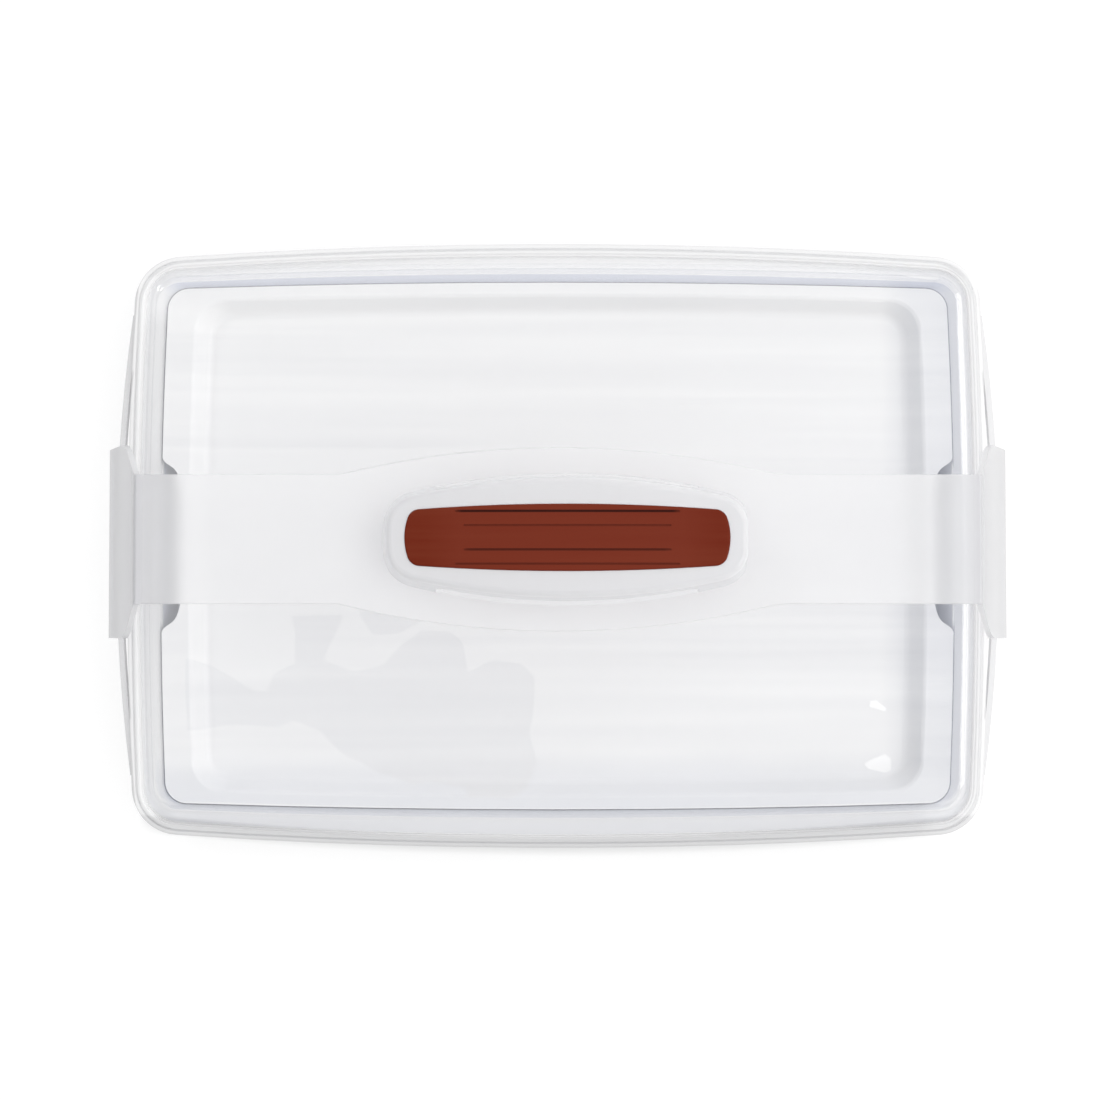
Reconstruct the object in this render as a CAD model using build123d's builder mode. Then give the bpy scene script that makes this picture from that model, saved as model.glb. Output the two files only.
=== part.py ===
"""Cake carrier, built as it comes apart on a bench.

A shallow base tray with ears on its short ends holds a lift-out insert tray.  A deep clear
lid stands in a channel of the base's lip.  A carrying strap lies across the lid: its middle
rises into a bridge with a soft grip, and a clip hinges down from each end over an ear.

Millimetres, +X along the carrier, +Z up, origin at the middle of the foot.
"""

import os

from build123d import *

os.makedirs("parts", exist_ok=True)

# ---------------------------------------------------------------- plan of the whole carrier
lip_half_x = 216.8        # base lip, middle of a short side
lip_half_y = 152.2        # base lip, middle of a long side
lip_corner = 24.0
long_bow = 2950.0         # the long sides bow outwards on this radius
short_bow = 2800.0        # and the short sides on this one
wall = 2.2                # general moulding thickness

# ---------------------------------------------------------------- heights
lip_top = 30.0
seat_z = 26.0             # channel floor that carries the lid
step_z = 21.6             # ledge in the base that carries the insert tray
skirt_z = 19.0            # lower edge of the lip's skirt
lid_top = 96.0
strap_thickness = 2.4
strap_top = lid_top + strap_thickness
bridge_rise = 21.6        # crown of the carrying bridge above the strap

# ---------------------------------------------------------------- base tray
lip_skirt = 1.8           # thickness of the lip's outer skirt
lip_width = 6.2           # lip from its outer edge to the lid channel
bead_outer = 2.8          # bead along the lip, as insets from its outer edge
bead_inner = 5.4
bead_height = 1.0
bead_round = 0.8
lip_round = 2.0
seat_half_x = 205.8       # inner edge of the seat, above the slope down to the insert's ledge
seat_half_y = 137.6
seat_corner = 12.0
seat_long_bow = 4400.0
insert_clearance = 0.6    # round the insert tray
ledge_width = 5.0         # ledge under the long sides of the insert tray
end_ledge = 0.6           # and under its ends, which leaves the finger notches open below
wall_run = 5.0            # how far the lower wall leans in on its way down to the floor
smallest_corner = 9.0
foot_ring = 6.0
foot_recess = 1.2
floor_thickness = 2.0
floor_top = foot_recess + floor_thickness

# ---------------------------------------------------------------- ears on the short ends
ear_reach = 222.6         # outermost face of the ear bar
ear_bow = 850.0
ear_bar = 2.8
ear_half_span = 116.0
ear_low = 22.0
ear_high = 27.5
ear_rib_y = 46.0
ear_rib = 2.4
ear_rib_length = 6.0

# ---------------------------------------------------------------- insert tray
insert_half_x = 200.5
insert_half_y = 133.3
insert_corner = 11.0
insert_long_bow = 5930.0
insert_thickness = 2.0
insert_top = step_z + insert_thickness
recess_half_x = 186.0
recess_half_y = 126.7
recess_corner = 16.0
recess_depth = 9.0
recess_slope = 6.5        # how far the recess wall runs in on its way down
pan_wall = 1.0            # sideways thickness of that sloping wall
recess_mouth_round = 2.5
recess_floor_round = 5.0
notch_depth = 10.2        # finger notch in each short end
notch_half_mouth = 46.5

# ---------------------------------------------------------------- lid
lid_flange_inset = 6.8
lid_rim_bead = 1.8
lid_rim_height = 1.2
lid_top_half_x = 196.2
lid_top_half_y = 131.6
lid_corner = 14.0
lid_shoulder = 5.0

# ---------------------------------------------------------------- shared working sizes
bite = 1.0                # overlap between solids that are joined
overrun = 5.0             # how far a cutting tool runs past the surface it cuts
tool_half_depth = 60.0    # half depth of tools that cut right across the strap

# ---------------------------------------------------------------- strap and bridge
strap_half_width = 30.65
strap_bulge_half_width = 43.6
strap_bulge_reach = 103.7
strap_bulge_blend = 60.0
strap_edge_round = 0.8
hinge_x = 198.8           # fold between the strap and each clip
hinge_z = lid_top + strap_thickness / 2
hinge_clearance = 0.25
handle_x = 4.3            # the bridge stands a little off the middle of the strap
bridge_half_x = 87.4
bridge_half_y = 31.4
bridge_corner = 17.0
bridge_long_bow = 325.0
bridge_short_bow = 133.0
bridge_draft_run = 4.2    # how far the bridge's sides lean in
bridge_arch = 900.0       # radius of its crown along X
bridge_shoulder = 3.2
window_half_x = 62.0      # open sides for the fingers
window_top = 109.8
window_corner = 6.0

# ---------------------------------------------------------------- grip
grip_half_x = 75.6
grip_half_y = 15.6
grip_corner = 6.0
grip_long_bow = 1050.0
grip_short_bow = 40.0
grip_thickness = 2.2
bridge_crown_wall = 3.2
grip_pocket = 1.3         # how deep the grip is let into the bridge
grip_seat_gap = 0.05
grip_gap = 0.15
groove_width = 0.9
groove_depth = 0.5
grip_grooves = ((12.2, 52.0), (5.6, 48.0))   # distance from the middle, half length
grip_round = 0.9
peg_radius = 2.0
peg_clearance = 0.05
peg_spacing = 55.0
peg_length = 2.4          # below the grip's underside

# ---------------------------------------------------------------- clips
clip_thickness = 2.4
clip_inner_x = 222.9      # inner face beside the ear
clip_elbow_z = 34.0
clip_foot_z = 17.0
clip_elbow_radius = 30.0
clip_half_width = 47.0
clip_flare_z = 64.0       # the clip has its full width from here down
clip_corner = 3.0
clip_corner_height = 10.0
clip_foot_round = 0.9
stop_rib_reach = 2.6      # rib that rests on top of the ear bar
stop_rib_height = 2.0
stop_rib_gap = 0.2
stop_rib_half_width = 40.0


def bowed_outline(half_x, half_y, corner, bow_x=long_bow, bow_y=short_bow):
    """A rectangle whose sides bow outwards as arcs, with its corners rounded."""
    corner_x = half_x - half_y**2 / (2 * bow_y)
    corner_y = half_y - half_x**2 / (2 * bow_x)
    with BuildSketch() as outline:
        with BuildLine():
            ThreePointArc((-corner_x, -corner_y), (0, -half_y), (corner_x, -corner_y))
            ThreePointArc((corner_x, -corner_y), (half_x, 0), (corner_x, corner_y))
            ThreePointArc((corner_x, corner_y), (0, half_y), (-corner_x, corner_y))
            ThreePointArc((-corner_x, corner_y), (-half_x, 0), (-corner_x, -corner_y))
        make_face()
        fillet(outline.vertices(), corner)
    return outline.sketch


def lip_outline(inset):
    """The lip's outline, moved inwards by inset."""
    corner = max(lip_corner - inset, smallest_corner)
    return bowed_outline(lip_half_x - inset, lip_half_y - inset, corner)


def seat_outline(outset):
    """The inner edge of the lid's seat, moved outwards by outset."""
    return bowed_outline(seat_half_x + outset, seat_half_y + outset, seat_corner + outset, seat_long_bow)


def insert_outline(half_x, half_y, corner):
    """Outlines round the insert tray: straighter long sides than the lip has."""
    return bowed_outline(half_x, half_y, corner, insert_long_bow, short_bow)


def ledge_outline(outset):
    """The space for the insert tray on its ledge, moved outwards by outset."""
    spare = insert_clearance + outset
    return insert_outline(insert_half_x + spare, insert_half_y + spare, insert_corner + spare)


def prism(outline, low_z, high_z):
    """Straight walls between two heights."""
    with BuildPart() as block:
        with BuildSketch(Plane.XY.offset(low_z)):
            add(outline)
        extrude(amount=high_z - low_z)
    return block.part


def drafted(low_outline, low_z, high_outline, high_z):
    """Sloped walls from one outline up to another."""
    with BuildPart() as block:
        with BuildSketch(Plane.XY.offset(low_z)):
            add(low_outline)
        with BuildSketch(Plane.XY.offset(high_z)):
            add(high_outline)
        loft(ruled=True)
    return block.part


def arch_slab(half_length, low, high):
    """A slab of the given heights at its middle, arched along X like the bridge's crown."""
    drop = bridge_arch - (bridge_arch**2 - half_length**2) ** 0.5
    with BuildPart() as slab:
        with BuildSketch(Plane.XZ):
            with Locations((handle_x, 0)):
                with BuildLine():
                    ThreePointArc((-half_length, high - drop), (0, high), (half_length, high - drop))
                    Line((half_length, high - drop), (half_length, low - drop))
                    ThreePointArc((half_length, low - drop), (0, low), (-half_length, low - drop))
                    Line((-half_length, low - drop), (-half_length, high - drop))
                make_face()
        extrude(amount=tool_half_depth, both=True)
    return slab.part


# ================================================================ base tray
def lower_outline(inset):
    """The deep middle of the base below the insert's ledge, moved inwards by inset."""
    half_x = insert_half_x + insert_clearance - end_ledge - inset
    half_y = insert_half_y + insert_clearance - ledge_width - inset
    return insert_outline(half_x, half_y, smallest_corner)


lip_void = prism(lip_outline(lip_skirt), skirt_z, lip_top - wall)
seat_slab = prism(lip_outline(lip_width - lip_skirt), seat_z - wall, lip_top)
upper_wall = drafted(ledge_outline(wall), step_z - wall, seat_outline(wall), seat_z - bite)
ledge_slab = prism(ledge_outline(wall), step_z - wall, step_z)
lower_wall = drafted(lower_outline(wall_run - wall), 0, lower_outline(-wall), step_z - bite)
lid_channel = prism(lip_outline(lip_width), seat_z, lip_top + overrun)
sloped_well = drafted(ledge_outline(0), step_z, seat_outline(0), seat_z)
lower_well = drafted(lower_outline(wall_run), floor_top, lower_outline(0), step_z)
foot_hollow = prism(lower_outline(wall_run - wall + foot_ring), 0, foot_recess)

with BuildPart() as base_tray:
    add(prism(lip_outline(0), skirt_z, lip_top))
    fillet(base_tray.edges().group_by(Axis.Z)[-1], lip_round)
    add(lip_void, mode=Mode.SUBTRACT)
    add(seat_slab)
    add(upper_wall)
    add(ledge_slab)
    add(lower_wall)
    add(lid_channel, mode=Mode.SUBTRACT)
    add(sloped_well, mode=Mode.SUBTRACT)
    add(lower_well, mode=Mode.SUBTRACT)
    add(foot_hollow, mode=Mode.SUBTRACT)
    # the bead that runs round on top of the lip
    with BuildSketch(Plane.XY.offset(lip_top)):
        add(lip_outline(bead_outer))
        add(lip_outline(bead_inner), mode=Mode.SUBTRACT)
    extrude(amount=bead_height)
    fillet(base_tray.edges().group_by(Axis.Z)[-1], bead_round)
    # an ear on each short end: a bowed bar that stands off the lip on two ribs
    with BuildSketch(Plane.XY.offset(ear_low)):
        for side in (-1, 1):
            rib_x = side * (ear_reach - ear_bar - ear_rib_length / 3)
            end_x = ear_reach - ear_half_span**2 / (2 * ear_bow)
            outer = (side * end_x, ear_half_span), (side * ear_reach, 0), (side * end_x, -ear_half_span)
            inner = [(x - side * ear_bar, y) for x, y in outer]
            with BuildLine():
                ThreePointArc(*outer)
                ThreePointArc(*inner)
                Line(outer[0], inner[0])
                Line(outer[2], inner[2])
            make_face()
            with Locations((rib_x, ear_rib_y), (rib_x, -ear_rib_y)):
                Rectangle(ear_rib_length, ear_rib)
        add(lip_outline(lip_skirt / 2), mode=Mode.SUBTRACT)
    extrude(amount=ear_high - ear_low)
base_tray.part.label = "base_tray"
export_step(base_tray.part, "parts/base_tray.step")


# ================================================================ insert tray
def notch_outline(side):
    """Finger notch in a short end: an S on each side, leading in to a straight back."""
    # shares of the notch's depth and of its half width along the S
    s_curve = (0, 1.0), (0.29, 0.88), (0.61, 0.83), (0.84, 0.74), (1.0, 0.55)
    edge = side * insert_half_x
    near = [(edge - side * notch_depth * deep, notch_half_mouth * wide) for deep, wide in s_curve]
    far = [(x, -y) for x, y in reversed(near)]
    with BuildSketch() as outline:
        with BuildLine():
            Polyline((edge, -notch_half_mouth), (edge + side * overrun, -notch_half_mouth),
                     (edge + side * overrun, notch_half_mouth), (edge, notch_half_mouth))
            Spline(*near)
            Line(near[-1], far[0])
            Spline(*far)
        make_face()
    return outline.sketch


def recess_outline(inset):
    """The sunk middle of the insert tray, moved inwards by inset."""
    return insert_outline(recess_half_x - inset, recess_half_y - inset, recess_corner - inset / 2)


recess_floor = insert_top - recess_depth
pan_foot = recess_floor - insert_thickness
recess = drafted(recess_outline(recess_slope), recess_floor, recess_outline(0), insert_top)
pan = drafted(recess_outline(recess_slope - pan_wall), pan_foot, recess_outline(-pan_wall), step_z + bite / 2)

with BuildPart() as insert_tray:
    add(prism(insert_outline(insert_half_x, insert_half_y, insert_corner), step_z, insert_top))
    for side in (-1, 1):
        with BuildSketch(Plane.XY.offset(step_z)):
            add(notch_outline(side))
        extrude(amount=insert_thickness, mode=Mode.SUBTRACT)
    add(pan)
    add(recess, mode=Mode.SUBTRACT)
    top_edges = insert_tray.edges().group_by(Axis.Z)[-1]
    mouth_edges = top_edges.filter_by_position(Axis.X, -recess_half_x - bite, recess_half_x + bite)
    mouth_edges = mouth_edges.filter_by_position(Axis.Y, -recess_half_y - bite, recess_half_y + bite)
    fillet(mouth_edges, recess_mouth_round)
    fillet(insert_tray.edges().filter_by_position(Axis.Z, recess_floor, recess_floor), recess_floor_round)
insert_tray.part.label = "insert_tray"
export_step(insert_tray.part, "parts/insert_tray.step")


# ================================================================ lid
def lid_top_outline(inset):
    """The lid's outline at its top, moved inwards by inset."""
    return bowed_outline(lid_top_half_x - inset, lid_top_half_y - inset, lid_corner - inset, seat_long_bow)


lid_shell = drafted(seat_outline(wall), seat_z, lid_top_outline(0), lid_top)
lid_room = drafted(seat_outline(0), seat_z, lid_top_outline(wall), lid_top - wall)

with BuildPart() as lid:
    add(lid_shell)
    fillet(lid.edges().group_by(Axis.Z)[-1], lid_shoulder)
    add(prism(lip_outline(lid_flange_inset), seat_z, seat_z + wall))
    with BuildSketch(Plane.XY.offset(seat_z + wall)):
        add(lip_outline(lid_flange_inset))
        add(lip_outline(lid_flange_inset + lid_rim_bead), mode=Mode.SUBTRACT)
    extrude(amount=lid_rim_height)
    add(lid_room, mode=Mode.SUBTRACT)
    fillet(lid.edges().filter_by_position(Axis.Z, lid_top - wall, lid_top - wall), lid_shoulder - wall)
lid.part.label = "lid"
export_step(lid.part, "parts/lid.step")


# ================================================================ strap with its bridge
def bridge_outline(inset):
    """The bridge in plan, moved inwards by inset."""
    return bowed_outline(bridge_half_x - inset, bridge_half_y - inset, bridge_corner - inset / 2,
                         bridge_long_bow, bridge_short_bow)


def grip_outline(gap):
    """The grip in plan, moved outwards by gap."""
    return bowed_outline(grip_half_x + gap, grip_half_y + gap, grip_corner, grip_long_bow, grip_short_bow)


crown = strap_top + bridge_rise
over_crown = crown + bite

with BuildPart() as bridge_block:
    with BuildSketch(Plane((handle_x, 0, strap_top))):
        add(bridge_outline(0))
    with BuildSketch(Plane((handle_x, 0, over_crown))):
        add(bridge_outline(bridge_draft_run))
    loft(ruled=True)
    add(arch_slab(bridge_half_x + bite, lid_top - overrun, crown), mode=Mode.INTERSECT)
    shoulders = bridge_block.edges().filter_by_position(Axis.Z, window_top + bridge_crown_wall, crown)
    fillet(shoulders, bridge_shoulder)

with BuildPart() as bridge_room:
    with BuildSketch(Plane((handle_x, 0, lid_top - bite))):
        add(bridge_outline(strap_thickness))
    with BuildSketch(Plane((handle_x, 0, over_crown))):
        add(bridge_outline(bridge_draft_run + strap_thickness))
    loft(ruled=True)
    add(arch_slab(bridge_half_x, lid_top - overrun, crown - bridge_crown_wall), mode=Mode.INTERSECT)

with BuildPart() as grip_recess:
    with BuildSketch(Plane((handle_x, 0, strap_top))):
        add(grip_outline(grip_gap))
    extrude(amount=bridge_rise + overrun)
    add(arch_slab(bridge_half_x, crown - grip_pocket, crown + overrun), mode=Mode.INTERSECT)

with BuildPart() as strap:
    with BuildSketch(Plane.XY.offset(lid_top)) as band:
        Rectangle(2 * hinge_x, 2 * strap_half_width)
        with Locations((handle_x, 0)):
            with BuildLine():
                ThreePointArc((-strap_bulge_reach, strap_half_width), (0, strap_bulge_half_width),
                              (strap_bulge_reach, strap_half_width))
                Line((strap_bulge_reach, strap_half_width), (strap_bulge_reach, -strap_half_width))
                ThreePointArc((strap_bulge_reach, -strap_half_width), (0, -strap_bulge_half_width),
                              (-strap_bulge_reach, -strap_half_width))
                Line((-strap_bulge_reach, -strap_half_width), (-strap_bulge_reach, strap_half_width))
            make_face()
        bulge_ends = band.vertices().filter_by(lambda v: abs(v.X - handle_x) < strap_bulge_reach + bite)
        fillet(bulge_ends, strap_bulge_blend)
    extrude(amount=strap_thickness)
    top_edges = strap.edges().group_by(Axis.Z)[-1]
    fillet(top_edges.filter_by_position(Axis.X, bite - hinge_x, hinge_x - bite), strap_edge_round)
    with BuildSketch(Plane.XZ):
        with Locations((hinge_x, hinge_z), (-hinge_x, hinge_z)):
            Circle(strap_thickness / 2)
    extrude(amount=strap_half_width, both=True)
    add(bridge_block.part)
    add(bridge_room.part, mode=Mode.SUBTRACT)
    # the bridge's long sides are open, and the strap is cut away below them
    with BuildSketch(Plane.XZ) as window:
        with Locations((handle_x, (strap_top + window_top) / 2)):
            Rectangle(2 * window_half_x, window_top - strap_top)
        fillet(window.vertices().group_by(Axis.Y)[-1], window_corner)
    extrude(amount=tool_half_depth, both=True, mode=Mode.SUBTRACT)
    with BuildSketch(Plane((handle_x, 0, lid_top))):
        add(bridge_outline(0))
        Rectangle(2 * window_half_x, 2 * tool_half_depth, mode=Mode.INTERSECT)
    extrude(amount=strap_thickness, mode=Mode.SUBTRACT)
    add(grip_recess.part, mode=Mode.SUBTRACT)
    with BuildSketch(Plane((handle_x, 0, strap_top))):
        with GridLocations(peg_spacing, 1, 3, 1):
            Circle(peg_radius + peg_clearance)
    extrude(amount=bridge_rise, mode=Mode.SUBTRACT)
strap.part.label = "strap"
export_step(strap.part, "parts/strap.step")


# ================================================================ grip
grip_under = crown - grip_pocket + grip_seat_gap
grip_top = grip_under + grip_thickness
over_groove_floor = arch_slab(grip_half_x, grip_top - groove_depth, grip_top + overrun)

with BuildPart() as pegs:
    with BuildSketch(Plane((handle_x, 0, strap_top))):
        with GridLocations(peg_spacing, 1, 3, 1):
            Circle(peg_radius)
    extrude(amount=bridge_rise + overrun)
    add(arch_slab(bridge_half_x, grip_under - peg_length, grip_under + bite), mode=Mode.INTERSECT)

with BuildPart() as grip:
    with BuildSketch(Plane((handle_x, 0, strap_top))):
        add(grip_outline(0))
    extrude(amount=bridge_rise + overrun)
    add(arch_slab(bridge_half_x, grip_under, grip_top), mode=Mode.INTERSECT)
    fillet(grip.faces().sort_by(Axis.Z)[-1].edges(), grip_round)
    add(pegs.part)
for distance, half_length in grip_grooves:
    with BuildPart() as groove_pair:
        with BuildSketch(Plane((handle_x, 0, strap_top))):
            with Locations((0, distance), (0, -distance)):
                SlotOverall(2 * half_length, groove_width)
        extrude(amount=bridge_rise + overrun)
        add(over_groove_floor, mode=Mode.INTERSECT)
    with grip:
        add(groove_pair.part, mode=Mode.SUBTRACT)
grip.part.label = "grip"
export_step(grip.part, "parts/grip.step")


# ================================================================ clips
clip_middle_x = clip_inner_x + clip_thickness / 2

with BuildPart() as right_clip:
    with BuildSketch(Plane.XZ):
        with BuildLine():
            FilletPolyline((hinge_x, hinge_z), (clip_middle_x, clip_elbow_z), (clip_middle_x, clip_foot_z),
                           radius=clip_elbow_radius)
        trace(line_width=clip_thickness)
        with Locations((hinge_x, hinge_z)):
            Circle(strap_thickness / 2 + hinge_clearance, mode=Mode.SUBTRACT)
    extrude(amount=clip_half_width + overrun, both=True)
    # seen from the end: as wide as the strap at the fold, flaring out to the full width
    with BuildSketch(Plane.YZ):
        with BuildLine() as front:
            Line((strap_half_width, strap_top + bite), (strap_half_width, lid_top))
            Spline((strap_half_width, lid_top), (clip_half_width, clip_flare_z),
                   tangents=((0.5, -1), (0, -1)))
            Polyline((clip_half_width, clip_flare_z), (clip_half_width, clip_foot_z + clip_corner_height),
                     (clip_half_width - clip_corner, clip_foot_z - bite), (0, clip_foot_z - bite),
                     (0, strap_top + bite), (strap_half_width, strap_top + bite))
        make_face()
        mirror(about=Plane.YZ)
    extrude(amount=clip_inner_x + overrun, mode=Mode.INTERSECT)
    fillet(right_clip.edges().group_by(Axis.Z)[0].filter_by(Axis.Y), clip_foot_round)
    # rib on the inner face that rests on the ear bar
    with BuildSketch(Plane.XZ):
        with Locations((clip_inner_x - stop_rib_reach, ear_high + stop_rib_gap)):
            Rectangle(stop_rib_reach + bite, stop_rib_height, align=(Align.MIN, Align.MIN))
    extrude(amount=stop_rib_half_width, both=True)
right_clip.part.label = "right_clip"
export_step(right_clip.part, "parts/right_clip.step")

with BuildPart() as left_clip:
    mirror(right_clip.part, about=Plane.YZ)
left_clip.part.label = "left_clip"
export_step(left_clip.part, "parts/left_clip.step")
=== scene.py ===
"""Looks of the cake carrier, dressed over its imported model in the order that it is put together."""

import math

import bmesh
import bpy
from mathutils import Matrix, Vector


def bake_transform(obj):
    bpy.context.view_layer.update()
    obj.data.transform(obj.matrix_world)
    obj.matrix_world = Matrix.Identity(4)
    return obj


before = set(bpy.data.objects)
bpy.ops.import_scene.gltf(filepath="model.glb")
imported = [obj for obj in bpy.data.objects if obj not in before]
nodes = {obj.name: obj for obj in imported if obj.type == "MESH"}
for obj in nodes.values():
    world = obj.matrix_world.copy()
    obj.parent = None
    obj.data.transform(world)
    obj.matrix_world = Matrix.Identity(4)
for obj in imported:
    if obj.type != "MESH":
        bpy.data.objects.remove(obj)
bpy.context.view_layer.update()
scene = bpy.context.scene
scene.view_settings.view_transform = "Standard"
# the clear lid and the milky walls lie one behind another
scene.cycles.transparent_max_bounces = 32


# ---------------------------------------------------------------- studio
# A plain pale table in a white room.  The camera hangs almost straight over the carrier.
# Two soft lamps light it: a key from the right and a weaker fill from the back left.
rim_height = 0.030
camera_distance = 1.100
camera_aim = Vector((-0.0038, -0.0028, rim_height))
camera_tilt = math.radians(1.95)
camera_lens = 71.6


class Wire:
    """An output of a material's nodes, with the arithmetic that the finishes use."""

    def __init__(self, tree, socket=None):
        self.tree = tree
        self.socket = socket

    def node(self, kind, settings=None, inputs=None, output=0):
        """Adds a node: first its settings, then a value or a link for each socket."""
        made = self.tree.nodes.new(kind)
        for name, value in (settings or {}).items():
            if name == "stops":
                for place, shade in value:
                    stop = made.color_ramp.elements.new(place)
                    stop.color = (shade, shade, shade, 1)
                made.color_ramp.elements.remove(made.color_ramp.elements[0])
                made.color_ramp.elements.remove(made.color_ramp.elements[-1])
            else:
                setattr(made, name, value)
        for name, value in (inputs or {}).items():
            if isinstance(value, Wire):
                self.tree.links.new(value.socket, made.inputs[name])
            else:
                made.inputs[name].default_value = value
        return Wire(self.tree, made.outputs[output])

    def combine(self, operation, first, second):
        return self.node("ShaderNodeMath", {"operation": operation}, {0: first, 1: second})

    def __add__(self, other):
        return self.combine("ADD", self, other)

    def __radd__(self, other):
        return self.combine("ADD", other, self)

    def __sub__(self, other):
        return self.combine("SUBTRACT", self, other)

    def __rsub__(self, other):
        return self.combine("SUBTRACT", other, self)

    def __mul__(self, other):
        return self.combine("MULTIPLY", self, other)

    def __rmul__(self, other):
        return self.combine("MULTIPLY", other, self)


def new_material(name):
    """An empty material, and a wire to start its nodes from."""
    material = bpy.data.materials.new(name)
    material.use_nodes = True
    material.node_tree.nodes.clear()
    return material, Wire(material.node_tree)


def put_out(wire, shader, kind="ShaderNodeOutputMaterial"):
    """Ends a node tree with its output."""
    end = wire.tree.nodes.new(kind)
    wire.tree.links.new(shader.socket, end.inputs["Surface"])


def larger(wire, first, second):
    """The larger of two values."""
    return wire.node("ShaderNodeMath", {"operation": "MAXIMUM"}, {0: first, 1: second})


def seen_directly(wire):
    """1 for what the camera sees itself, in a reflection or through clear plastic."""
    by_camera, in_mirror, through_clear = [
        wire.node("ShaderNodeLightPath", output=name)
        for name in ("Is Camera Ray", "Is Glossy Ray", "Is Transmission Ray")]
    return larger(wire, larger(wire, by_camera, in_mirror), through_clear)


def spread(wire, value, low, high, to_low=0.0, to_high=1.0):
    """Stretches the part of a value between low and high to a new range, and holds it there."""
    return wire.node("ShaderNodeMapRange", {}, {"Value": value, "From Min": low, "From Max": high,
                                                "To Min": to_low, "To Max": to_high})


def away(wire, axis, from_place=0.0):
    """How far a point of the piece is from a place along one axis."""
    place = wire.node("ShaderNodeTexCoord", output="Object")
    along = wire.node("ShaderNodeSeparateXYZ", {}, {0: place}, output=axis)
    return wire.node("ShaderNodeMath", {"operation": "ABSOLUTE"}, {0: along - from_place})


def away_squared(wire, axis, from_place=0.0):
    """The square of that, for sides that bow outwards."""
    return away(wire, axis, from_place) * away(wire, axis, from_place)


def blend_colours(wire, share, first, second):
    """A colour between two, by a share from 0 to 1."""
    return wire.node("ShaderNodeMix", {"data_type": "RGBA"},
                     {0: share, 6: first, 7: second}, output=2)


def soft_lamp(name, place, size, power, tint):
    """A square soft box that faces the carrier."""
    lamp = bpy.data.lights.new(name, "AREA")
    lamp.shape = "SQUARE"
    lamp.size = size
    lamp.energy = power
    lamp.color = tint
    made = bpy.data.objects.new(name, lamp)
    made.location = place
    to_carrier = Vector((0, 0, rim_height)) - Vector(place)
    made.rotation_euler = to_carrier.to_track_quat("-Z", "Y").to_euler()
    scene.collection.objects.link(made)


table_size = 6.0
table_shape = bmesh.new()
bmesh.ops.create_grid(table_shape, x_segments=1, y_segments=1, size=table_size)
table_mesh = bpy.data.meshes.new("table_top")
table_shape.to_mesh(table_mesh)
table_shape.free()
table_top = bpy.data.objects.new("table_top", table_mesh)
scene.collection.objects.link(table_top)
material, wire = new_material("table_white")
# Little light gets in under the carrier, and it gets in a little further from the right and the
# back.  The shade is bowed as the sides of the lip are.
side_bow = 0.35            # how far the short sides bow outwards, per square metre off the middle
long_bow = 0.26            # and the long sides
shade_x = -0.009
shade_y = -0.012
across = away(wire, "X", shade_x) + side_bow * away_squared(wire, "Y")
along = away(wire, "Y", shade_y) + long_bow * away_squared(wire, "X")
foot_shade = spread(wire, across, 0.201, 0.213, 1, 0) * spread(wire, along, 0.138, 0.1475, 1, 0)
to_camera = wire.node("ShaderNodeLightPath", output="Is Camera Ray")
brightness = (0.76 - 0.42 * foot_shade) * (0.72 + 0.28 * to_camera)
lit = wire.node("ShaderNodeBsdfDiffuse", inputs={"Color": (0.35, 0.35, 0.35, 1)})
shown = wire.node("ShaderNodeAddShader", inputs={
    0: wire.node("ShaderNodeEmission", inputs={"Color": (1, 1, 1, 1), "Strength": brightness}),
    1: wire.node("ShaderNodeBsdfDiffuse", inputs={"Color": (0.30, 0.30, 0.30, 1)})})
put_out(wire, wire.node("ShaderNodeMixShader", inputs={0: seen_directly(wire), 1: lit, 2: shown}))
table_mesh.materials.append(material)

room = bpy.data.worlds.new("white_room")
room.use_nodes = True
room.node_tree.nodes.clear()
wire = Wire(room.node_tree)
room_light = 0.90
room_slant = 0.34          # how much brighter it is at the right and the back than overhead
heading = wire.node("ShaderNodeTexCoord", output="Generated")
to_right = wire.node("ShaderNodeSeparateXYZ", {}, {0: heading}, output="X")
to_back = wire.node("ShaderNodeSeparateXYZ", {}, {0: heading}, output="Y")
walls = room_light + room_slant * (0.8 * to_right + 0.25 * to_back)
white = wire.node("ShaderNodeLightPath", output="Is Camera Ray")
put_out(wire, wire.node("ShaderNodeBackground", inputs={
    "Color": (1, 1, 1, 1), "Strength": walls + white * (1 - walls)}), "ShaderNodeOutputWorld")
scene.world = room

soft_lamp("key_lamp", (1.20, 0.05, 1.20), 0.9, 7.0, (1.0, 0.99, 0.97))
soft_lamp("fill_lamp", (-1.15, 0.75, 0.80), 0.20, 2.2, (0.97, 0.98, 1.0))

camera_place = camera_aim + camera_distance * Vector((0, -math.tan(camera_tilt), 1))

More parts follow.
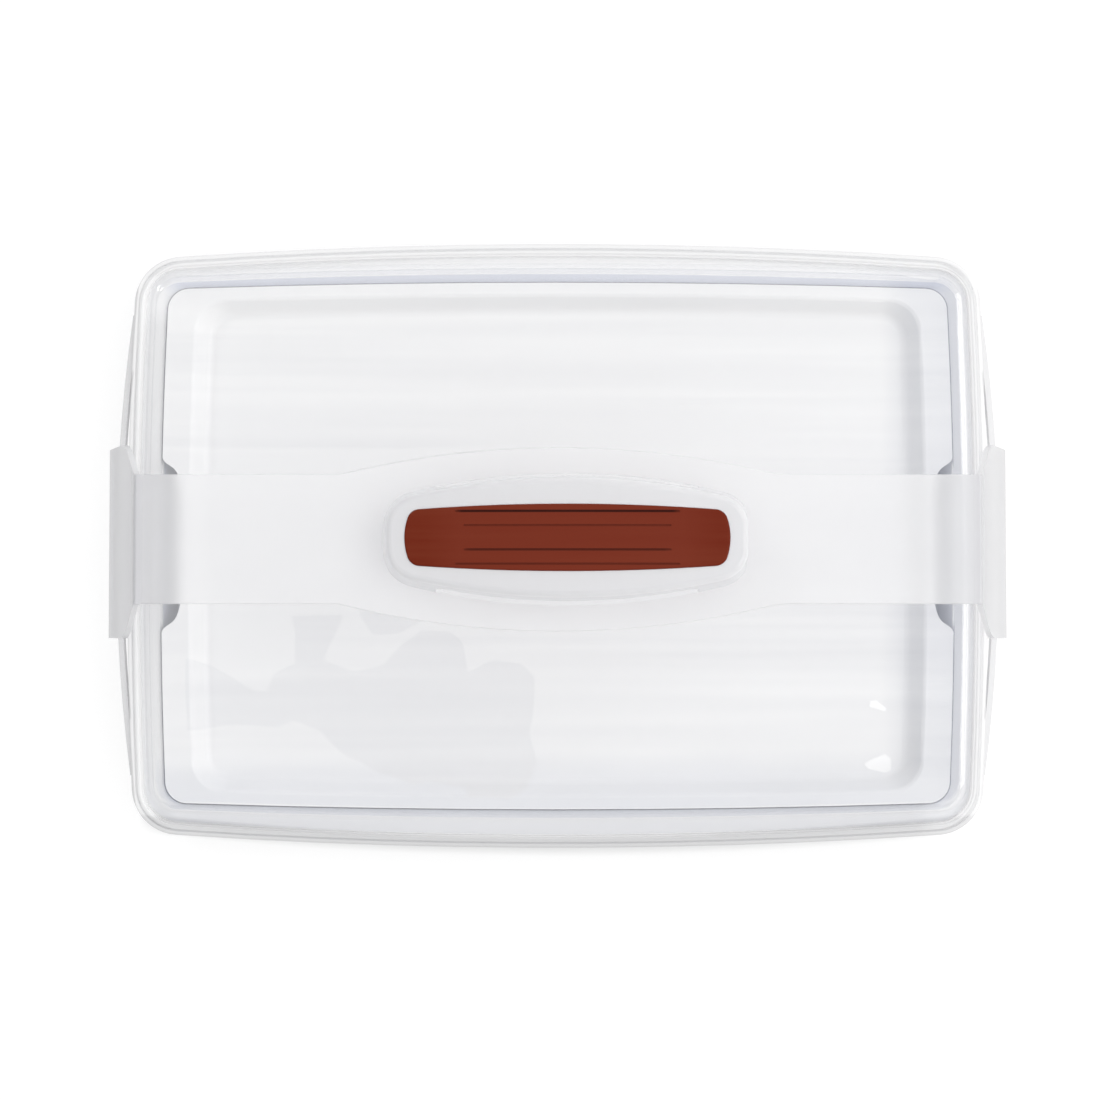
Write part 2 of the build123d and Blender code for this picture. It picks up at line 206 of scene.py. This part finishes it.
# Cards round the camera, which show only in the lid's top: as soft dark patches, and as two small
# bright spots.  Each is drawn by the outline of its patch there, in millimetres, and then mirrored
# up to its height.
lid_top = 0.096
card_height = 1.0
mirroring = 1 + (card_height - lid_top) / (camera_place.z - lid_top)
beyond = 0.5               # a side is told by the distance from a point this far off on the other
card_paints = {}
for paint, near, far in (
        ("card_blue", (room_light, room_light, room_light, 1), (0.08, 0.14, 0.32, 1)),
        ("card_grey", (0.50, 0.51, 0.55, 1), (0.03, 0.04, 0.13, 1)),
        ("card_bright", (2.0, 2.0, 2.0, 1), (0.6, 0.6, 0.6, 1))):
    card_paints[paint], wire = new_material(paint)
    # darkens towards the right and the front, first quickly and then slowly
    right_start = beyond + mirroring * 0.155
    front_start = beyond + mirroring * 0.098 - 0.035
    to_right = away(wire, "X", -beyond)
    to_front = away(wire, "Y", beyond)
    quick = larger(wire, spread(wire, to_right, right_start, right_start + 0.03),
                   spread(wire, to_front, front_start, front_start + 0.03))
    slow = larger(wire, spread(wire, to_right, right_start, right_start + 0.08),
                  spread(wire, to_front, front_start, front_start + 0.06))
    shown = blend_colours(wire, 0.5 * quick + 0.5 * slow, near, far)
    put_out(wire, wire.node("ShaderNodeEmission", {}, {"Color": shown}))
card_gap = 0.002           # between one card and the next below it
for number, (paint, outline) in enumerate((
        ("card_blue", ((155, 260), (155, -98), (-320, -98), (-320, -260), (300, -260), (300, 260))),
        ("card_grey", (
            (-174, -55), (-156, -65), (-145, -71), (-138, -72), (-135, -64), (-129, -60),
            (-124, -58), (-124, -44), (-126, -37), (-115, -36), (-101, -37), (-105, -47),
            (-110, -56), (-104, -58), (-96, -61), (-82, -59), (-72, -51), (-65, -46),
            (-51, -46), (-46, -51), (-43, -62), (-39, -61), (-32, -58), (-19, -59),
            (-12, -66), (-13, -80), (-16, -91), (-11, -105), (-17, -118), (-24, -122),
            (-41, -121), (-42, -117), (-60, -114), (-69, -115), (-82, -110), (-91, -104),
            (-98, -101), (-108, -93), (-113, -88), (-124, -84), (-131, -87), (-145, -86),
            (-159, -87), (-173, -91))),
        ("card_grey", (
            (-95, -33), (-88, -32), (-61, -38), (-65, -42), (-75, -47), (-88, -47), (-93, -39))),
        ("card_bright", (
            (147.6, -77.8), (151.0, -77.6), (154.6, -80.6), (154.2, -82.2), (150.6, -81.4),
            (147.2, -80.6))),
        ("card_bright", (
            (145.4, -103.0), (148.6, -101.4), (154.2, -99.8), (156.6, -101.8), (157.0, -106.2),
            (155.0, -107.8), (151.8, -106.6), (147.4, -105.4))))):
    card_shape = bmesh.new()
    corners = []
    for x, y in outline:
        patch = Vector((x / 1000, y / 1000, lid_top))
        corner = camera_place + mirroring * (patch - camera_place)
        corners.append(card_shape.verts.new((corner.x, corner.y, card_height - card_gap * number)))
    card_shape.faces.new(corners)
    card_mesh = bpy.data.meshes.new(f"card_{number}")
    card_shape.to_mesh(card_mesh)
    card_shape.free()
    card = bpy.data.objects.new(f"card_{number}", card_mesh)
    scene.collection.objects.link(card)
    card.visible_camera = card.visible_diffuse = card.visible_shadow = card.visible_transmission = False
    card_mesh.materials.append(card_paints[paint])

camera_data = bpy.data.cameras.new("camera")
camera_data.lens = camera_lens
camera = bpy.data.objects.new("camera", camera_data)
camera.location = camera_place
camera.rotation_euler = (camera_tilt, 0, 0)
scene.collection.objects.link(camera)
scene.camera = camera


# ---------------------------------------------------------------- base tray
# The shallow base, injection moulded in milky polypropylene about 2 mm thick.  Light gets through
# it, so the table shows faintly from above.  It flowed in from the middle of the floor.
def pattern(wire, scale, stretch=(1, 1, 1), detail=3.0):
    """Cloudy noise from 0 to 1, with this many cells to the metre before the stretch."""
    place = wire.node("ShaderNodeTexCoord", output="Object")
    place = wire.node("ShaderNodeMapping", {}, {"Vector": place, "Scale": stretch})
    return wire.node("ShaderNodeTexNoise", {}, {"Vector": place, "Scale": scale, "Detail": detail})


def relief(wire, height, depth):
    """A surface normal from a height between 0 and 1 and its depth in metres."""
    return wire.node("ShaderNodeBump", {}, {"Height": height, "Distance": depth, "Strength": 1.0})


def finish(piece, material):
    """Gives a piece its only material."""
    piece.data.materials.clear()
    piece.data.materials.append(material)


def milkiness(wire, hides, shades):
    """How much of the milky skin shows: none from inside, one share to the eye and another to light."""
    front = 1 - wire.node("ShaderNodeNewGeometry", output="Backfacing")
    return front * (shades + (hides - shades) * seen_directly(wire))


plastic_ior = 1.49
base_hides = 0.66          # share of the milky base that hides what is behind it
base_shades = 0.80         # and the share of light that it keeps off what is behind it
seat_height = 0.0260
ledge_height = 0.0216
soft_step = 0.0001         # a tint that follows a level fades out between one and three of these
material, wire = new_material("milky_base")
flow = pattern(wire, 11, detail=4)
scuffs = spread(wire, pattern(wire, 1, (70, 70, 200), 4), 0.55, 0.8)
grain = pattern(wire, 900, detail=2)
below = spread(wire, away(wire, "Z"), 0.020, 0.021, 1, 0)
slope_middle = (seat_height + ledge_height) / 2
well = spread(wire, away(wire, "Z", slope_middle), 0.0019, 0.0021, 1, 0)
colour = blend_colours(wire, flow, (0.92, 0.92, 0.918, 1), (0.865, 0.865, 0.868, 1))
# the four sides of the tray, each told by its distance from beyond the other
left_end = spread(wire, away(wire, "X", beyond), 0.692, 0.700)
right_end = spread(wire, away(wire, "X", -beyond), 0.692, 0.700)
back_end = spread(wire, away(wire, "Y", -beyond), 0.628, 0.632)
front_end = spread(wire, away(wire, "Y", beyond), 0.628, 0.632)
# painted light: the seat is painted the palest, less so at the front and not at the left end
on_seat = spread(wire, away(wire, "Z", seat_height), soft_step, 3 * soft_step, 1, 0)
seat = on_seat * (1 - left_end) * (1 - 0.5 * front_end)
colour = blend_colours(wire, 0.9 * seat, colour, (0.975, 0.975, 0.975, 1))
# painted shade: the slope down to the insert's ledge and the walls below it are painted a darker blue
# grey, on the slope most at the back and least at the left end
slope_painted_shade = (0.50 + 0.35 * back_end - 0.48 * left_end - 0.30 * right_end) * well
inside = blend_colours(wire, slope_painted_shade + 0.6 * below, colour, (0.62, 0.66, 0.80, 1))
# painted shade: darker along the front and the back edge and on the ears, most of all on the left one
bowed = long_bow * away_squared(wire, "X")
front_edge = spread(wire, away(wire, "Y", beyond) + bowed, 0.6460, 0.6480)
back_edge = spread(wire, away(wire, "Y", -beyond) + bowed, 0.6450, 0.6465)
ears = spread(wire, away(wire, "X") + side_bow * away_squared(wire, "Y"), 0.2172, 0.2178)
edge_painted_shade = 0.55 * front_edge + 0.15 * back_edge + (0.30 + 0.45 * left_end) * ears
inside = blend_colours(wire, edge_painted_shade, inside, (0.50, 0.50, 0.51, 1))
# painted shade: the slot round the insert tray is painted near black as long as ambient occlusion finds
# the tray closing it in
slot = spread(wire, away(wire, "Z", ledge_height), soft_step, 3 * soft_step, 1, 0)
open_sky = wire.node("ShaderNodeAmbientOcclusion", {"samples": 6}, {"Distance": 0.004}, output="AO")
slot_painted_shade = slot * (1 - spread(wire, open_sky, 0.5, 0.9))
skin = wire.node("ShaderNodeBsdfPrincipled", {}, {
    "Base Color": blend_colours(wire, slot_painted_shade, inside, (0.060, 0.072, 0.120, 1)),
    "Roughness": spread(wire, flow + 0.4 * scuffs, 0, 1.4, 0.26, 0.36),
    "Normal": relief(wire, grain + 0.2 * scuffs, 0.000012), "IOR": plastic_ior})
through = wire.node("ShaderNodeBsdfTransparent", {}, {"Color": (0.97, 0.97, 0.975, 1)})
# the seat's painted light also lets less of the table show through it
shows = milkiness(wire, base_hides + 0.2 * seat, base_shades)
put_out(wire, wire.node("ShaderNodeMixShader", {}, {0: shows, 1: through, 2: skin}))
finish(nodes["base_tray"], material)

# ---------------------------------------------------------------- insert tray
# The lift-out tray that the cake stands on, moulded in opaque white polypropylene.  Its sunk floor
# has a satin finish with faint lines along the carrier, left by the milling of the mould.
material, wire = new_material("white_insert")
fine_lines = pattern(wire, 1, (3, 190, 40), 5)
broad_lines = pattern(wire, 1, (3, 70, 10), 2)
clouds = pattern(wire, 9, detail=2)
shade = 0.7 * fine_lines + 0.8 * broad_lines + 0.2 * clouds
colour = blend_colours(wire, spread(wire, shade, 0.5, 1.2),
                       (0.925, 0.925, 0.922, 1), (0.815, 0.817, 0.825, 1))
skin = wire.node("ShaderNodeBsdfPrincipled", {}, {
    "Base Color": colour,
    "Roughness": spread(wire, fine_lines, 0.3, 0.7, 0.34, 0.48),
    "Normal": relief(wire, fine_lines, 0.00003), "IOR": plastic_ior})
put_out(wire, skin)
finish(nodes["insert_tray"], material)

# ---------------------------------------------------------------- lid
# The deep clear lid, moulded in styrene acrylonitrile.  It is water clear straight through, and
# bluish grey where the eye looks along its walls.  Its flat top is very slightly wavy.
material, wire = new_material("clear_lid")
waves = pattern(wire, 7, detail=1) + 0.25 * pattern(wire, 22, detail=1)
edge_on = wire.node("ShaderNodeLayerWeight", {}, {"Blend": 0.5}, output="Facing")
clear = wire.node("ShaderNodeBsdfTransparent", {}, {"Color": (0.992, 0.992, 0.993, 1)})
body = wire.node("ShaderNodeBsdfPrincipled", {}, {
    "Base Color": (0.60, 0.62, 0.69, 1), "Roughness": 0.10, "IOR": plastic_ior})
edge_on_2 = edge_on * edge_on
edge_on_8 = edge_on_2 * edge_on_2 * edge_on_2 * edge_on_2
up = away(wire, "Z")
shoulder = spread(wire, up, 0.0895, 0.0915) * spread(wire, up, 0.0953, 0.0959, 1, 0)
rim = spread(wire, up, 0.0295, 0.0305, 1, 0)
# the share of plastic that shows, more where the eye looks along a wall, at the shoulder and the rim
thickness = (0.010 + 0.05 * edge_on_2 + 0.18 * edge_on_8 * (1 - 0.8 * rim)
             + 0.05 * shoulder + 0.02 * rim)
shell = wire.node("ShaderNodeMixShader", {}, {0: seen_directly(wire) * thickness, 1: clear, 2: body})
gloss = wire.node("ShaderNodeBsdfGlossy", {}, {
    "Color": (1, 1, 1, 1), "Roughness": 0.012, "Normal": relief(wire, waves, 0.0004)})
mirror = (0.065 + 0.10 * edge_on_2 * edge_on_2) * (1 - 0.5 * rim)
mirror = seen_directly(wire) * mirror
put_out(wire, wire.node("ShaderNodeMixShader", {}, {0: mirror, 1: shell, 2: gloss}))
finish(nodes["lid"], material)
lid_play = 0.00003         # keeps the lid's faces just clear of the seat below and the strap above
weld = nodes["lid"].modifiers.new("weld", "WELD")
weld.merge_threshold = 0.000001
shrink = nodes["lid"].modifiers.new("shrink", "DISPLACE")
shrink.mid_level = 0
shrink.strength = -lid_play

# ---------------------------------------------------------------- strap and clips
# One moulding in tough milky polypropylene: the strap, its bridge and the two clips.  The clips
# fold down on living hinges.  What lies behind the plastic shows through it blurred.
strap_hides = 0.60         # as on the base
strap_shades = 0.14
handle_x = 0.0043          # the bridge stands a little off the middle
bridge_shoulder = 0.1172
bridge_crown = 0.1198
bridge_arch = 0.900        # the crown's radius along the carrier
milky_strap, wire = new_material("milky_strap")
flow = pattern(wire, 1, (14, 26, 26), 3)
scuffs = spread(wire, pattern(wire, 1, (60, 800, 200), 4), 0.58, 0.8)
grain = pattern(wire, 800, detail=2)
height = away(wire, "Z")
colour = blend_colours(wire, flow, (0.89, 0.89, 0.89, 1), (0.83, 0.83, 0.835, 1))
# painted light: the bridge's walls are painted paler than the strap; painted shade: the left end is
# painted greyer; the arched crown is greyer too
arched = height + 0.5 / bridge_arch * away_squared(wire, "X", handle_x)
crown = spread(wire, arched, bridge_shoulder, bridge_crown)
wall = spread(wire, height, 0.0990, 0.1010)
colour = blend_colours(wire, wall, colour, (0.985, 0.985, 0.985, 1))
left_end = spread(wire, away(wire, "X", beyond), 0.680, 0.694)
colour = blend_colours(wire, 0.85 * crown + 0.16 * left_end, colour, (0.65, 0.65, 0.66, 1))
fold_middle = 0.1995
off_fold = wire.node("ShaderNodeMath", {"operation": "ABSOLUTE"},
                     {0: away(wire, "X") - fold_middle})
fold = spread(wire, off_fold, 0.0020, 0.0035, 1, 0)
skin = wire.node("ShaderNodeBsdfPrincipled", {}, {
    "Base Color": colour,
    "Roughness": spread(wire, flow + 0.4 * scuffs, 0, 1.4, 0.10, 0.26) + 0.35 * fold,
    "Normal": relief(wire, grain + 0.4 * scuffs, 0.000012), "IOR": plastic_ior})
blurred = wire.node("ShaderNodeBsdfRefraction", {}, {
    "Color": (0.97, 0.97, 0.98, 1), "Roughness": 0.70, "IOR": 1.10})
lamp_light = wire.node("ShaderNodeBsdfTransparent", {}, {"Color": (0.97, 0.97, 0.98, 1)})
through = wire.node("ShaderNodeMixShader", {}, {
    0: wire.node("ShaderNodeLightPath", output="Is Camera Ray"), 1: lamp_light, 2: blurred})
shows = milkiness(wire, strap_hides, strap_shades)
put_out(wire, wire.node("ShaderNodeMixShader", {}, {0: shows, 1: through, 2: skin}))
for name in ("strap", "left_clip", "right_clip"):
    finish(nodes[name], milky_strap)


# ---------------------------------------------------------------- living hinges
# The thin films that join each clip to the strap, moulded with them in one piece.  Each runs over
# the fold and onto the clip's outer face.
fold_x = 0.1988
fold_z = 0.0972
fold_radius = 0.00122      # half the strap's thickness and a hair more
film_thickness = 0.00028
thin_end = 0.15            # share of that thickness at both ends of a film
film_half_width = 0.0304
film_reach = 0.0024
fold_steps = 8
lean = math.atan2(0.0253, 0.0632)      # of the clip, from upright
for side, name in ((-1, "left"), (1, "right")):
    film = bmesh.new()
    # the fold in section: along its inner face, and back along the outer face, thin at both ends
    section = [(Vector((fold_x - film_reach, 0, fold_z + fold_radius)), Vector((0, 0, 1)), thin_end)]
    for step in range(fold_steps + 1):
        turn = math.pi / 2 - (math.pi / 2 - lean) * step / fold_steps
        out = Vector((math.cos(turn), 0, math.sin(turn)))
        section.append((Vector((fold_x, 0, fold_z)) + fold_radius * out, out, 1.0))
    last, out, share = section[-1]
    down_clip = Vector((math.sin(lean), 0, -math.cos(lean)))
    section.append((last + film_reach * down_clip, out, thin_end))
    inner = [film.verts.new(place) for place, out, share in section]
    outer = [film.verts.new(place + share * film_thickness * out) for place, out, share in section]
    profile = film.faces.new(inner + outer[::-1])
    bmesh.ops.translate(film, verts=film.verts, vec=(0, -film_half_width, 0))
    made = bmesh.ops.extrude_face_region(film, geom=[profile])
    far = [v for v in made["geom"] if isinstance(v, bmesh.types.BMVert)]
    bmesh.ops.translate(film, verts=far, vec=(0, 2 * film_half_width, 0))
    if side < 0:
        bmesh.ops.scale(film, verts=film.verts, vec=(-1, 1, 1))
    bmesh.ops.recalc_face_normals(film, faces=film.faces)
    film_mesh = bpy.data.meshes.new(f"{name}_hinge_film")
    film.to_mesh(film_mesh)
    film.free()
    piece = bpy.data.objects.new(f"{name}_hinge_film", film_mesh)
    scene.collection.objects.link(piece)
    finish(piece, milky_strap)
    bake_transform(piece)

# ---------------------------------------------------------------- grip
# The soft grip on the bridge, a red brown rubber pad held by three pegs.  Its skin has a fine spark
# finish, worn smoother along the crown, where a paler painted sheen lies too, and painted shade darkens
# its four grooves.
# place across the grip, half length, and how dark its painted shade is
grooves = ((0.0122, 0.052, 0.90), (0.0056, 0.048, 0.05),
           (-0.0056, 0.048, 0.50), (-0.0122, 0.052, 0.15))
material, wire = new_material("red_grip")
grain = pattern(wire, 1500, detail=3)
wear = spread(wire, pattern(wire, 1, (8, 170, 60), 4), 0.35, 0.7)
middle = spread(wire, away(wire, "X", 0.006), 0.052, 0.068, 1, 0)
colour = blend_colours(wire, 0.5 * wear + 0.2 * grain,
                       (0.145, 0.014, 0.003, 1), (0.180, 0.032, 0.013, 1))
# painted sheen: the middle is painted a paler red brown
colour = blend_colours(wire, 0.55 * middle, colour, (0.185, 0.030, 0.014, 1))
# painted shade darkens each groove
for place, half_length, groove_painted_shade in grooves:
    groove_painted_shade = groove_painted_shade * spread(wire, away(wire, "Y", place), 0.0003, 0.0008, 1, 0)
    groove_painted_shade = groove_painted_shade * spread(wire, away(wire, "X", handle_x), half_length - 0.003, half_length, 1, 0)
    colour = blend_colours(wire, groove_painted_shade, colour, (0.035, 0.004, 0.002, 1))
skin = wire.node("ShaderNodeBsdfPrincipled", {}, {
    "Base Color": colour, "Roughness": spread(wire, wear + middle, 0, 2, 0.46, 0.30),
    "Normal": relief(wire, grain, 0.00004), "IOR": plastic_ior, "Specular IOR Level": 0.10})
put_out(wire, skin)
finish(nodes["grip"], material)
